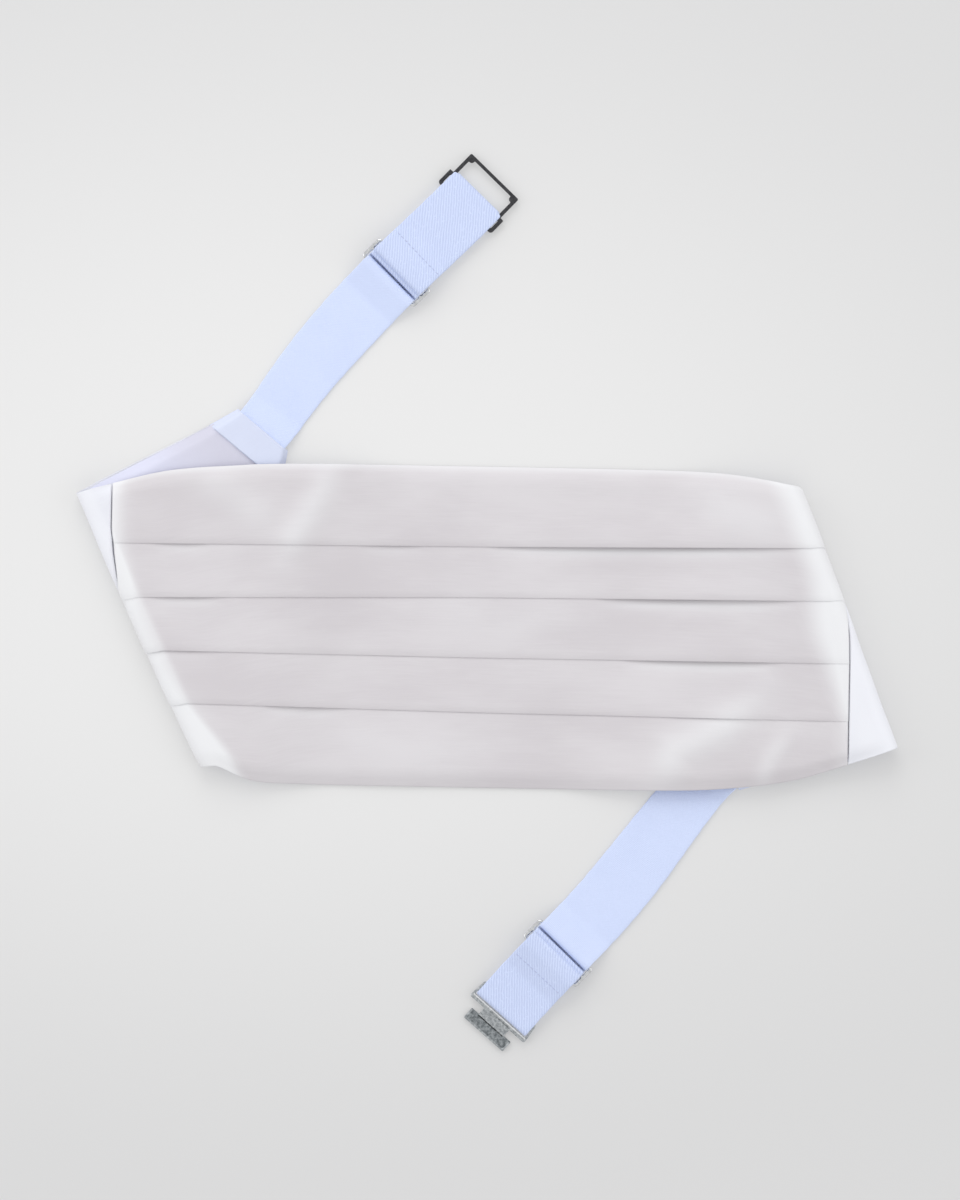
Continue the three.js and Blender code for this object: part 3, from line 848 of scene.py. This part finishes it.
def front_rows():
    """Down the front: a hem, then each band's face, its lip, and the tuck that runs back under it."""
    borders = [top_edge, *[partial(lip_line, pleat) for pleat in pleats], bottom_edge]
    last = len(pleats)
    rows = []

    def sewn(h, from_seam):
        """At the seams the pleats are pressed and sewn flat."""
        free = smooth(from_seam / pressed_reach)
        turned_in = 1 - smooth((from_seam - gap / 2) / seam_turn_width)
        return mix(pressed_level + (h - pressed_level) * pressed_share, h, free) - turned_in * seam_turn

    def add(t, h):
        rows.append(lambda s: (t(s), pinched(s, t(s), sewn(h(s), seam_distance(s, t(s))))))

    def beside(edge, offset, level, lip=0, opens=0.0):
        """A row along an edge. A lip lifts it by as much as it stands open, times opens."""
        add(lambda s: edge(s) + offset, lambda s: level + opens * opening_at(lip, s))

    def across_face(band, share):
        above, below = borders[band], borders[band + 1]
        start = face_level if band else hem_level + hem_edge_top
        level = mix(start, lip_level, smooth(share) * 0.35 + share * 0.65)
        level += face_swell * math.sin(math.pi * share)

        def height(s):
            up = opening_at(band, s) * smooth((share - 0.45) / 0.5) if band < last else 0
            down = opening_dip * opening_at(band - 1, s) * (1 - smooth(share / dip_reach)) if band else 0
            return level + up - down

        add(lambda s: mix(above(s), below(s) + lip_edge, share), height)

    def fold_back(lip, edge):
        """The lip's own fold, the tuck under it, and the start of the next band."""
        middle, radius = (lip_level + lip_under) / 2, (lip_level - lip_under) / 2
        for reach, rise in arc((80, 40, 0, -40, -80), radius, radius):
            beside(edge, radius - reach, middle + rise, lip, 1)
        for share in (0.12, 0.3, 0.6, 0.9):
            beside(edge, tuck_depth * share, mix(lip_under, under_level, share), lip, 1 - smooth(share))
        for reach, rise in arc((60, 0, -60), tuck_bend, tuck_bend):
            beside(edge, tuck_depth + reach, (under_level + head_level) / 2 + rise)
        for share in (0.9, 0.6, 0.3, 0.12):
            level = mix(face_level, head_level, share)
            beside(edge, tuck_depth * share, level, lip, -opening_dip * (1 - share))

    for back in (hem_turn, 4, 1.5, 0.4):
        beside(top_edge, -back, hem_level)
    for reach, rise in arc((-60, -20, 20, 60), hem_edge, hem_edge_rise):
        beside(top_edge, reach - hem_edge, hem_level + hem_edge_middle + rise)

    for band in range(last + 1):
        steps = 14 if band in (0, last) else 11
        for index in range(0 if band else 1, steps):
            share = index / steps
            across_face(band, share + 0.22 * math.sin(2 * math.pi * share) / (2 * math.pi))
        if band < last:
            fold_back(band, borders[band + 1])

    for reach, rise in arc((70, 40, 10, -20, -60), low_edge, low_edge_rise):
        beside(bottom_edge, low_edge - reach, low_edge_middle + rise)
    for back in (1.2, 4, hem_turn):
        beside(bottom_edge, back, hem_level)
    return rows


def share_rows(shares, level):
    """Rows at shares of the way from the top edge to the bottom edge."""
    def row(share, s):
        t = mix(top_edge(s), bottom_edge(s), share)
        return t, level(s, t)

    return [partial(row, share) for share in shares]


near_edge = np.array([0, 0.004, 0.012, 0.025, 0.045])
cut_shares = np.concatenate([near_edge, np.linspace(0.07, 0.93, 56), 1 - near_edge[::-1]])

places, count = waist_columns((far_off, 34, 24, 16, 9, 4), lambda end, t: end.seam(t) - gap / 2, front_columns)
front, front_area = cloth("pleated_satin_front", places, count, front_rows(), front_satin,
                          folds_in_face, light=satin_light)
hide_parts("pleated_front")


def lining_rise(s, t, puff=1.1, puff_over=14, puff_to=60, puff_fades=30):
    """The lining puffs up where it shows beside the hem band, and rises to its edges."""
    body = mix(lining_level, meeting(s, t) - 0.2, edge_closeness(s, t))
    beside_hem = half_end - hem_band - np.abs(s)
    shown_width = smooth(beside_hem / puff_over) * smooth((puff_to - beside_hem) / puff_fades)
    return body - puff * shown_width * folded_share(s, t) * (1 - edge_closeness(s, t))


lining_inset, lining_tucked = 0.012, 1.5
places, count = waist_columns((far_off, 64, 58, 52, 46, 41, 36, 31, 26, 21, 16, 12, 8, 5, 2.5),
                              lambda end, t: half_end - hem_band + lining_tucked, lining_columns)
lining_rows = share_rows(mix(lining_inset, 1 - lining_inset, cut_shares), lining_rise)
under, under_area = cloth("lining_cloth", places, count, lining_rows, lining_taffeta,
                          lambda s, t: ripples(s, t, 3, 14, 40, 0.12) * folded_share(s, t),
                          lining_cloth_thick, lining_light)
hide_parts("lining")


def tab_rise(s, t):
    beside_seam = -seam_distance(s, t) - gap / 2
    at_mouth = 1 - smooth((half_end - np.abs(s)) / 0.6)
    at_seam = 1 - smooth(beside_seam / seam_turn_width)
    body = tab_level + 0.2 * np.exp(-beside_seam / 6) - seam_turn * at_seam
    return pinched(s, t, body - 0.5 * at_mouth)


def tab_ripples(s, t):
    """The tab lies smooth towards its strap."""
    return ripples(s, t, 7, 20, 50, 0.1) * (1 - smooth((np.abs(s) - half_front - 40) / 20))


def band_rise(s, t):
    mouth, inner = half_end - np.abs(s), np.abs(s) - half_end + hem_band
    turned_in = 1 - smooth(np.minimum(mouth, inner) / 0.5)
    level = mix(band_level, band_edge_level, turned_in)
    return mix(level, meeting(s, t) + 0.1, edge_closeness(s, t) ** 2)


band_shares = np.unique([
    *np.linspace(0, 0.06, 6), *np.linspace(0.06, 0.94, 14), *np.linspace(0.94, 1, 6)])
band_start = half_end - hem_band
tab_distances = (90, 80, 74, 68, 62, 56, 50, 45, 40, 35, 30, 25, 20, 15, 11, 8, 5, 2.5)


def band_columns(t):
    return end.side * np.broadcast_to(mix(band_start, half_end, band_shares), t.shape)


for end in ends:
    distances = roll_distances(end, tab_distances)
    places = leaning_columns(end, distances, lambda t: end.seam(t) + gap / 2, lambda t: half_end)
    tab, tab_area = cloth(f"{end.name}_tab_satin", places, len(distances),
                          share_rows(cut_shares, tab_rise), tab_satin, tab_ripples)
    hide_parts(f"{end.name}_tab")

    band, band_area = cloth(f"{end.name}_hem_band", band_columns, len(band_shares),
                            share_rows(cut_shares, band_rise), hem_satin,
                            lambda s, t: ripples(s, t, 11, 8, 20, 0.06))
    band_height = 2 * float(half_height(band_start))


# Webbing
def eased(route, reach_most=1.3, longest=0.7, closest=0.02):
    """Rounds the corners of a route and adds points along its long stretches."""
    route = [Vector(point) for point in route]
    out = [route[0]]
    for before, corner, after in zip(route, route[1:], route[2:]):
        reach = min(reach_most, (before - corner).length / 2, (after - corner).length / 2)
        start = corner + (before - corner).normalized() * reach
        stop = corner + (after - corner).normalized() * reach
        out += [start * (1 - u) ** 2 + corner * 2 * u * (1 - u) + stop * u * u
                for u in np.linspace(0, 1, 6)]
    out.append(route[-1])
    full = [out[0]]
    for start, stop in zip(out, out[1:]):
        steps = max(1, math.ceil((stop - start).length / longest))
        full += [start.lerp(stop, index / steps) for index in range(1, steps + 1)]
    kept = [full[0]]
    for point in full[1:]:
        if (point - kept[-1]).length > closest:
            kept.append(point)
    return np.array([tuple(point) for point in kept])


def webbing_route(strap):
    """Side view: out of the tab, through the slide, round the end bar, back on top and round the slide's
    middle bar."""
    slide = strap.slide_at
    channel = slide_length / 2 - slide_bar - gap - webbing_thick / 2
    fold = slide_bar / 2 + gap + webbing_thick / 2
    outside = slide_length / 2 + webbing_thick / 2
    far = strap.length - webbing_thick / 2
    tail_end = slide - fold + tail_length
    tail_fall = (tail_end - slide - outside) / strap_fall
    return [
        (sleeve_wall - hem_band, sleeve_level), (leaves_sleeve, sleeve_level), (meets_surface, run_level),
        (slide - outside - strap_fall, run_level), (slide - outside, over_level),
        (slide - channel, over_level), (slide - channel, run_level), (slide + channel, run_level),
        (slide + channel, over_level),
        (slide + outside, over_level), (slide + outside + strap_fall, run_level), (far, run_level),
        (far, end_top_level), (slide + outside + strap_fall, end_top_level),
        (slide + outside, over_level + 2 * pitch), (slide + channel - 2 * pitch, over_level + 2 * pitch),
        (slide + channel - 2 * pitch, over_level), (slide - fold, over_level), (slide - fold, tail_level),
        (slide + channel - pitch, tail_level), (slide + channel - pitch, over_level + pitch),
        (slide + outside, over_level + pitch),
        (tail_end, over_level + pitch - (over_level - run_level) * tail_fall),
    ]


def webbing(strap, inset=0.42, waver=0.08):
    """The strap's webbing, and its length. Its edges are rounded over inset and waver a little."""
    route = eased(webbing_route(strap))
    lengths = np.linalg.norm(np.diff(route, axis=0), axis=1)
    run = np.concatenate([[0], np.cumsum(lengths)])
    steps = np.diff(route, axis=0) / lengths[:, None]
    along = np.vstack([steps[:1], steps[:-1] + steps[1:], steps[-1:]])
    along = along / np.linalg.norm(along, axis=1)[:, None]
    face = np.linspace(-1, 1, 19)
    side = np.radians([60, 20, -20, -60])
    width = strap.width(route[:, 0], route[:, 1]) / 2 + waver * np.sin(run * 0.9) * np.sin(run * 0.23)
    wide = width[:, None] - inset
    rounds, sinks = inset * np.cos(side), np.sin(side)
    across = np.hstack([wide * face, wide + rounds, -wide * face, -wide - rounds])
    thick = webbing_thick / 2 * np.concatenate([0 * face + 1, sinks, 0 * face - 1, -sinks])
    px, py, angle = strap.plan(route[:, :1] - along[:, 1:] * thick)
    z = route[:, 1:] + along[:, :1] * thick
    points = np.stack([px - np.sin(angle) * across, py + np.cos(angle) * across, z], axis=-1)
    rows, columns = across.shape
    faces = grid_faces(rows, columns, closed=True)
    faces += [tuple(range(columns))[::-1], tuple(range((rows - 1) * columns, rows * columns))]
    returning = smooth((run - strap.length - hem_band) / 2)
    flat = np.stack(np.broadcast_arrays(run[:, None], across, returning[:, None]), axis=-1)
    made = piece(f"{strap.end.name}_webbing", to_frame(points), faces, ribbed_webbing, flat)
    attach(made, "root")
    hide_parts(f"{strap.end.name}_strap")
    return made, float(run[-1])


def mesh_of(curve):
    """The mesh that a curve makes."""
    holder = shown("outline", curve)
    mesh = bpy.data.meshes.new_from_object(holder.evaluated_get(bpy.context.evaluated_depsgraph_get()))
    bpy.data.objects.remove(holder)
    return mesh


def stitches(strap, after_slide=11, from_edge=1, pitch_along=1.9, thread_radius=0.16):
    """A line of lockstitches across the two layers of the strap."""
    stitch_across = np.array([0, 0.15, 0.65, 1.15, 1.3])
    stitch_rise = np.array([-0.25, 0.0, 0.1, 0.0, -0.25])
    distance = strap.slide_at + after_slide
    outside = slide_length / 2 + webbing_thick / 2
    share = (distance - strap.slide_at - outside) / strap_fall
    level = mix(over_level + 2 * pitch, end_top_level, share) + webbing_thick / 2
    name = f"{strap.end.name}_strap_stitches"
    curve = bpy.data.curves.new(name, "CURVE")
    curve.dimensions = "3D"
    curve.bevel_depth = thread_radius * MM
    curve.bevel_resolution = 2
    half = float(strap.width(np.array([distance]))[0]) / 2 - from_edge
    for start in np.arange(-half, half - 1.2, pitch_along):
        across = start + stitch_across
        x, y, angle = strap.plan(np.full(len(across), distance))
        x, y = x - np.sin(angle) * across, y + np.cos(angle) * across
        line = np.stack([x, y, level + stitch_rise], axis=-1)
        spline = curve.splines.new("POLY")
        spline.points.add(len(line) - 1)
        for point, place in zip(spline.points, to_frame(line)):
            point.co = (*place, 1)
    mesh = mesh_of(curve)
    mesh.materials.clear()
    mesh.materials.append(thread)
    mesh.shade_smooth()
    made = shown(name, mesh)
    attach(made, "root")
    return made


# Hardware: X along the strap, Y across it, in millimetres
def rounded(corners, steps=5):
    """A closed outline with rounded corners, from (x, y, radius)."""
    points = []
    for before, here, after in zip(corners[-1:] + corners[:-1], corners, corners[1:] + corners[:1]):
        corner, radius = Vector(here[:2]), here[2]
        back, onward = ((Vector(other[:2]) - corner).normalized() for other in (before, after))
        half = back.angle(onward) / 2
        middle = corner + (back + onward).normalized() * radius / math.sin(half)
        start, stop = (corner + way * radius / math.tan(half) - middle for way in (back, onward))
        points += [middle + start.lerp(stop, index / steps).normalized() * radius
                   for index in range(steps + 1)]
    return points


def mirrored(*corners):
    """A rounded outline that is the same on both sides of the strap's line, from the corners on one side."""
    return rounded([(x, -y, radius) for x, y, radius in corners] + list(corners[::-1]))


def block(from_x, to_x, half, radius):
    return mirrored((from_x, half, radius), (to_x, half, radius))


def pressed_plate(outlines, thick, bevel):
    """The mesh of a plate with softened edges and its underside at 0. The first outline is the outer one."""
    curve = bpy.data.curves.new("outline", "CURVE")
    curve.dimensions = "2D"
    curve.fill_mode = "BOTH"
    curve.extrude = (thick / 2 - bevel) * MM
    curve.bevel_depth = bevel * MM
    curve.bevel_resolution = 2
    curve.offset = -bevel * MM
    for line in outlines:
        spline = curve.splines.new("POLY")
        spline.points.add(len(line) - 1)
        for point, place in zip(spline.points, line):
            point.co = (place.x * MM, place.y * MM, 0, 1)
        spline.use_cyclic_u = True
    mesh = mesh_of(curve)
    points = np.array([vertex.co for vertex in mesh.vertices], float) / MM
    faces = [tuple(face.vertices) for face in mesh.polygons]
    bpy.data.meshes.remove(mesh)
    points[:, 2] += thick / 2
    return points, faces


def lifted(plate, rise):
    points, faces = plate
    return points + np.array([0, 0, rise]), faces


def upright(plate):
    """Stands a plate drawn in side view (x, z) on edge, centred across the strap."""
    points, faces = plate
    thick = points[:, 2].max()
    return np.stack([points[:, 0], thick / 2 - points[:, 2], points[:, 1]], axis=-1), faces


def hardware(name, node, strap, distance, level, parts):
    """Lays a piece made of plates, each with its own finish, on the strap's line."""
    vertices, faces, finishes = [], [], []
    for (points, part_faces), finish in parts:
        start = sum(len(points) for points in vertices)
        vertices.append(points)
        faces += [tuple(start + index for index in face) for face in part_faces]
        finishes += [finish] * len(part_faces)
    along, across, rise = np.vstack(vertices).T
    x, y, angle = (float(value[0]) for value in strap.plan(np.array([distance])))
    laid = np.stack([
        x + along * math.cos(angle) - across * math.sin(angle),
        y + along * math.sin(angle) + across * math.cos(angle),
        rise + level,
    ], axis=-1)
    made = piece(name, to_frame(laid), faces, finishes[0])
    kinds = list(dict.fromkeys(finishes))
    for kind in kinds[1:]:
        made.data.materials.append(kind)
    for face, finish in zip(made.data.polygons, finishes):
        face.material_index = kinds.index(finish)
    made.data.set_sharp_from_angle(angle=math.radians(35))
    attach(made, "root")
    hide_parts(node)


def slide_frame():
    half = slide_length / 2
    outlines = [
        block(-half, half, rail_inside / 2 + slide_rail, 1.5),
        block(slide_bar - half, -slide_bar / 2, rail_inside / 2, 0.4),
        block(slide_bar / 2, half - slide_bar, rail_inside / 2, 0.4),
    ]
    return [(pressed_plate(outlines, metal_thick, 0.4), nickel)]


def catch_frame():
    inner = -webbing_thick - gap
    rear = inner - 2 * slide_rail - rear_window
    wide, half = rail_inside / 2 + slide_rail, catch_width / 2
    narrow, far = half + catch_rail, catch_length + catch_bar
    lump = catch_length - corner_lump
    outlines = [
        mirrored((rear, wide, 1.2), (inner, wide, 0.3), (inner, narrow, 0.3), (far, narrow, 0.6)),
        mirrored((inner, half, 0.3), (lump, half, 0.4), (lump, half - corner_lump, 1.1),
                 (catch_length, half - corner_lump, 0.35)),
        block(rear + slide_rail, inner - slide_rail, rail_inside / 2, 0.4),
    ]
    return [(pressed_plate(outlines, metal_thick, 0.22), gunmetal)]


def hook_frame():
    """A frame with a rim lighter as a painted highlight, a neck that steps down, and a cross plate darker as
    painted shade, with a raised lip.
    """
    front_x, inner = hook_bar + gap, -webbing_thick - gap
    wide, inside, half = rail_inside / 2 + hook_rail, rail_inside / 2, tee_width / 2
    down, bedded = end_metal_low, 0.1
    neck_end = front_x + neck_length
    tee_start, tee_end = neck_end + 0.3, neck_end + tee_length
    outer = mirrored((inner - hook_plate, wide - hook_taper, 0.5), (front_x, wide, 0.8))
    plate = pressed_plate([outer, block(inner, gap, inside, 0.4)], metal_thick, 0.25)
    rim_line = mirrored((gap + 0.1, inside + 0.1, 0.2), (gap + 0.75, inside + 0.6, 0.2))
    rim = pressed_plate([rim_line], 0.35, 0.12)
    neck = pressed_plate([rounded([
        (front_x - 2 * joggle, 0, 0.1), (front_x + joggle, 0, 0.5), (neck_end - joggle, -down, 0.5),
        (neck_end + 2 * joggle, -down, 0.1), (neck_end + 2 * joggle, metal_thick - down, 0.1),
        (neck_end, metal_thick - down, 0.5), (front_x + 2 * joggle, metal_thick, 0.5),
        (front_x - 2 * joggle, metal_thick, 0.1)])], neck_width, 0.2)
    tee = pressed_plate([block(neck_end, tee_end, half, 0.35)], metal_thick, 0.22)
    lip = pressed_plate([rounded([
        (tee_start, -half, 0.2), (tee_end, -half, 0.3), (tee_end, half, 0.3), (tee_start, half, 0.2),
        (tee_start, half - tee_rim, 0.2), (tee_end - tee_rim, half - tee_rim, 0.3),
        (tee_end - tee_rim, tee_rim - half, 0.3), (tee_start, tee_rim - half, 0.2)])], 0.5, 0.18)
    return [
        (plate, cast_nickel),
        (lifted(rim, metal_thick - bedded), rim_highlight_nickel),
        (upright(neck), cast_nickel),
        (lifted(tee, -down), dark_nickel),
        (lifted(lip, metal_thick - down - bedded), cast_nickel),
    ]


for strap in straps:
    made, long = webbing(strap)
    side = strap.end.name
    seam = stitches(strap)
    hardware(f"{side}_slide_frame", f"{side}_slide", strap, strap.slide_at, bar_low, slide_frame())
catch_strap, hook_strap = straps
hardware("catch_loop_frame", "catch_loop", catch_strap, catch_strap.length, end_metal_low, catch_frame())
hardware("tongue_hook_plate", "tongue_hook", hook_strap, hook_strap.length, end_metal_low, hook_frame())


# Floor and light
floor_half, floor_low = 3, -0.0002
# The floor's colour is a painted pool of light: lighter around glow_middle, darker away from it.
glow_middle, glow_shape = (0.08, -0.03, 0), (0.8, 1.25, 0)
floor_near, floor_far = (0.475, 0.475, 0.475), (0.37, 0.37, 0.372)

# The floor glows a little: painted light that lightens the shadows on it.
floor_finish = Finish("floor", Roughness=0.85, Specular_IOR_Level=0.15,
                      Emission_Color=(1, 1, 1), Emission_Strength=0.3)
spot = floor_finish.place()
away = floor_finish.vector("LENGTH", floor_finish.vector(
    "MULTIPLY", floor_finish.vector("ADD", spot, glow_middle), glow_shape), output="Value")
floor_material = floor_finish.wear(
    colour=floor_finish.between(floor_near, floor_far, floor_finish.ramp(away, 0.05, 0.34)),
    height=floor_finish.noise(spot, 900, 2, 0.5), depth=0.02, strength=0.1)
corners = [(x * floor_half, y * floor_half, floor_low) for x, y in ((-1, -1), (1, -1), (1, 1), (-1, 1))]
floor = piece("floor", corners, [(0, 1, 2, 3)], floor_material)

sky_strength = 0.755
world = bpy.data.worlds.new("studio")
world.use_nodes = True
bpy.context.scene.world = world
studio = Nodes(world.node_tree)
overhead = studio.node("ShaderNodeSeparateXYZ", inputs={
    0: studio.node("ShaderNodeTexCoord", output="Generated")}, output="Z")
horizon, zenith = (1.0, 1.0, 1.0), (1.12, 1.12, 1.12)
gradient = studio.node("ShaderNodeValToRGB", {"stops": [(0.0, horizon), (1.0, zenith)]}, {0: overhead})
sky = world.node_tree.nodes["Background"]
studio.put(sky.inputs["Color"], gradient)
studio.put(sky.inputs["Strength"], sky_strength)

# Softboxes: place and power, each turned to the middle
for name, place, power in [
    ("softbox_left", (-1.5, 0.35, 0.8), 6.5),
    ("softbox_right", (1.5, -0.1, 0.8), 5),
    ("softbox_top", (-0.2, 1.5, 1.1), 10),
]:
    lamp = bpy.data.lights.new(name, "AREA")
    lamp.shape = "SQUARE"
    lamp.size = 1.2
    lamp.energy = power
    holder = shown(name, lamp)
    holder.location = place
    holder.rotation_euler = (-Vector(place)).to_track_quat("-Z", "Y").to_euler()
